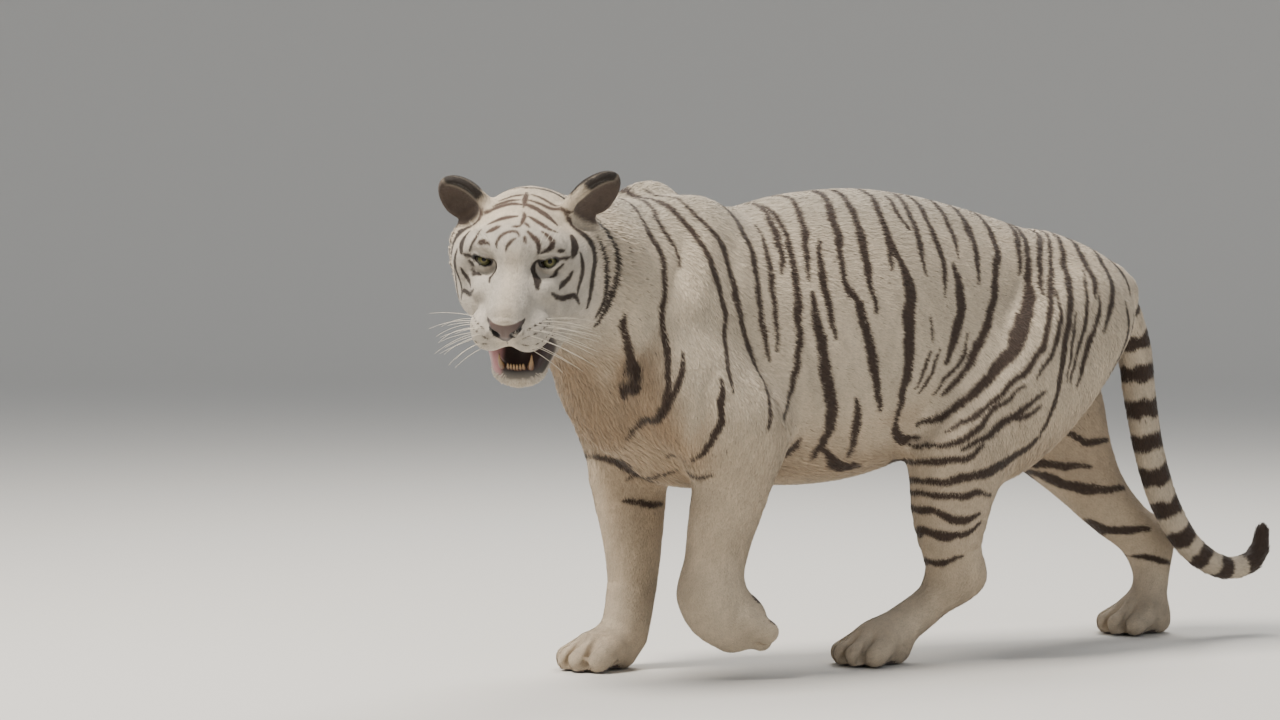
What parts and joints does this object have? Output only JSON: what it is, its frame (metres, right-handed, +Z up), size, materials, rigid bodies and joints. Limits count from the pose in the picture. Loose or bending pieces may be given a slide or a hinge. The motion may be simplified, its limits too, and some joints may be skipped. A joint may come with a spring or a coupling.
{
  "type": "white tiger",
  "caption": "Life-size still model of an adult white tiger, walking with its left forepaw lifted, its head turned to its left and its mouth a little open.",
  "frame": {"origin": "on the floor, under the middle of the model's box", "axes": "+Z up; the tiger walks towards -Y, so +Y runs along its body to the tail; +X is its left"},
  "size_m": [0.5123, 2.1073, 1.0056],
  "materials": {
    "coat": "short dense fur, cream white with dark brown stripes",
    "paw_coat": "very short fur, off white",
    "ear_coat": "short fur, dark on the back with a pale rim",
    "eye": "wet gloss over an olive iris",
    "tongue": "moist, rough",
    "tooth": "worn yellow-brown enamel"
  },
  "bodies": {
    "root": {"barrel": "coat", "canine_left": "tooth", "canine_right": "tooth", "chest": "coat", "ear_left": "ear_coat", "ear_right": "ear_coat", "eye_left": "eye", "eye_right": "eye", "forearm_left": "coat", "forearm_right": "coat", "forepaw_left": "paw_coat", "forepaw_right": "paw_coat", "head": "coat", "hind_foot_left": "paw_coat", "hind_foot_right": "paw_coat", "hips": "coat", "incisors": "tooth", "jaw": "coat", "neck": "coat", "shank_left": "coat", "shank_right": "coat", "shoulder_left": "coat", "shoulder_right": "coat", "tail_middle": "coat", "tail_root": "coat", "tail_tip": "coat", "thigh_left": "coat", "thigh_right": "coat", "tongue": "tongue"}
  },
  "joints": []
}
